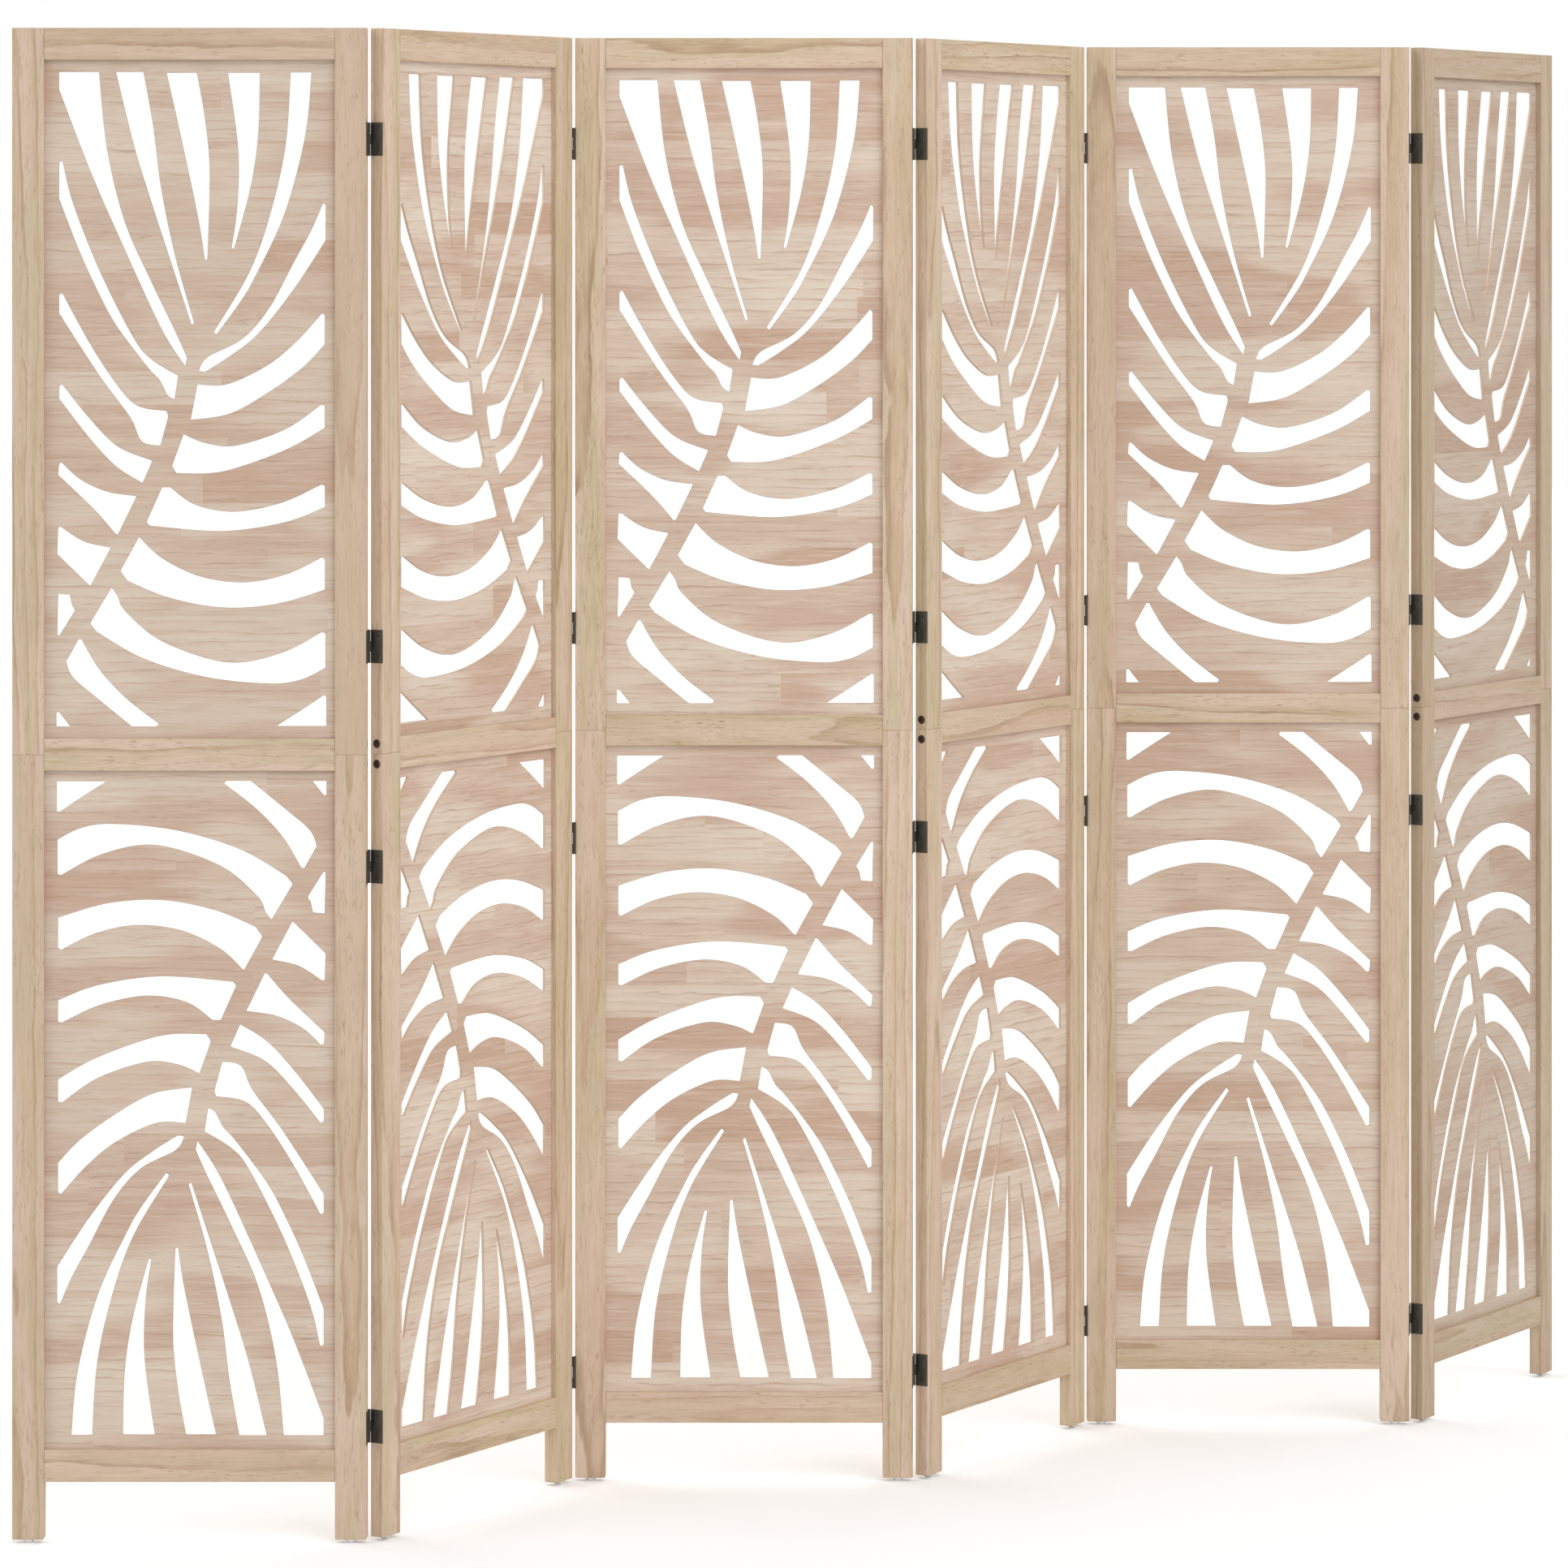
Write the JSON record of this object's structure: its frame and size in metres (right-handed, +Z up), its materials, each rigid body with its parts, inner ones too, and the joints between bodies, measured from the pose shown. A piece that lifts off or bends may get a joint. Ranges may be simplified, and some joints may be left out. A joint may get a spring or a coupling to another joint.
{
  "type": "folding screen",
  "caption": "Hinged wooden folding screen standing in an opened zigzag, each panel a frame with two boards cut through with palm fronds.",
  "frame": {"origin": "floor level, under the middle of the opened screen's bounding box", "axes": "+X along the first panel from its free end to its hinges, +Y to the back, +Z up; panels 1, 3 and 5 lie along X"},
  "size_m": [1.8518, 1.077, 1.7038],
  "materials": {
    "frame_wood": "pale straight-grained solid wood, matt clear finish",
    "palm_board": "thin rosy-beige veneered board with grain across the panel, matt",
    "hinge_metal": "dark bronze butt hinge, satin"
  },
  "bodies": {
    "panel_1": {"panel_1_stile_left_upper": "frame_wood", "panel_1_stile_left_lower": "frame_wood", "panel_1_stile_right_upper": "frame_wood", "panel_1_stile_right_lower": "frame_wood", "panel_1_rail_top": "frame_wood", "panel_1_rail_middle": "frame_wood", "panel_1_rail_bottom": "frame_wood", "panel_1_palm_board_upper": "palm_board", "panel_1_palm_board_lower": "palm_board", "hinge_1_top_pin_leaf": "hinge_metal"},
    "panel_2": {"panel_2_stile_left_upper": "frame_wood", "panel_2_stile_left_lower": "frame_wood", "panel_2_stile_right_upper": "frame_wood", "panel_2_stile_right_lower": "frame_wood", "panel_2_rail_top": "frame_wood", "panel_2_rail_middle": "frame_wood", "panel_2_rail_bottom": "frame_wood", "panel_2_palm_board_upper": "palm_board", "panel_2_palm_board_lower": "palm_board", "hinge_2_top_pin_leaf": "hinge_metal"},
    "panel_3": {"panel_3_stile_left_upper": "frame_wood", "panel_3_stile_left_lower": "frame_wood", "panel_3_stile_right_upper": "frame_wood", "panel_3_stile_right_lower": "frame_wood", "panel_3_rail_top": "frame_wood", "panel_3_rail_middle": "frame_wood", "panel_3_rail_bottom": "frame_wood", "panel_3_palm_board_upper": "palm_board", "panel_3_palm_board_lower": "palm_board", "hinge_3_top_pin_leaf": "hinge_metal"},
    "panel_4": {"panel_4_stile_left_upper": "frame_wood", "panel_4_stile_left_lower": "frame_wood", "panel_4_stile_right_upper": "frame_wood", "panel_4_stile_right_lower": "frame_wood", "panel_4_rail_top": "frame_wood", "panel_4_rail_middle": "frame_wood", "panel_4_rail_bottom": "frame_wood", "panel_4_palm_board_upper": "palm_board", "panel_4_palm_board_lower": "palm_board", "hinge_4_top_pin_leaf": "hinge_metal"},
    "panel_5": {"panel_5_stile_left_upper": "frame_wood", "panel_5_stile_left_lower": "frame_wood", "panel_5_stile_right_upper": "frame_wood", "panel_5_stile_right_lower": "frame_wood", "panel_5_rail_top": "frame_wood", "panel_5_rail_middle": "frame_wood", "panel_5_rail_bottom": "frame_wood", "panel_5_palm_board_upper": "palm_board", "panel_5_palm_board_lower": "palm_board", "hinge_5_top_pin_leaf": "hinge_metal"},
    "panel_6": {"panel_6_stile_left_upper": "frame_wood", "panel_6_stile_left_lower": "frame_wood", "panel_6_stile_right_upper": "frame_wood", "panel_6_stile_right_lower": "frame_wood", "panel_6_rail_top": "frame_wood", "panel_6_rail_middle": "frame_wood", "panel_6_rail_bottom": "frame_wood", "panel_6_palm_board_upper": "palm_board", "panel_6_palm_board_lower": "palm_board"}
  },
  "joints": [
    {"name": "fold_1_2", "type": "hinge", "parent": "panel_1", "child": "panel_2", "pos_m": [-0.52607, -0.52055, 0.85], "axis": [0, 0, 1], "range_deg": [-60, 120]},
    {"name": "fold_2_3", "type": "hinge", "parent": "panel_2", "child": "panel_3", "pos_m": [-0.30844, -0.18362, 0.85], "axis": [0, 0, -1], "range_deg": [-60, 120]},
    {"name": "fold_3_4", "type": "hinge", "parent": "panel_3", "child": "panel_4", "pos_m": [0.09216, -0.16362, 0.85], "axis": [0, 0, 1], "range_deg": [-60, 120]},
    {"name": "fold_4_5", "type": "hinge", "parent": "panel_4", "child": "panel_5", "pos_m": [0.30978, 0.17331, 0.85], "axis": [0, 0, -1], "range_deg": [-60, 120]},
    {"name": "fold_5_6", "type": "hinge", "parent": "panel_5", "child": "panel_6", "pos_m": [0.71038, 0.19331, 0.85], "axis": [0, 0, 1], "range_deg": [-60, 120]}
  ]
}
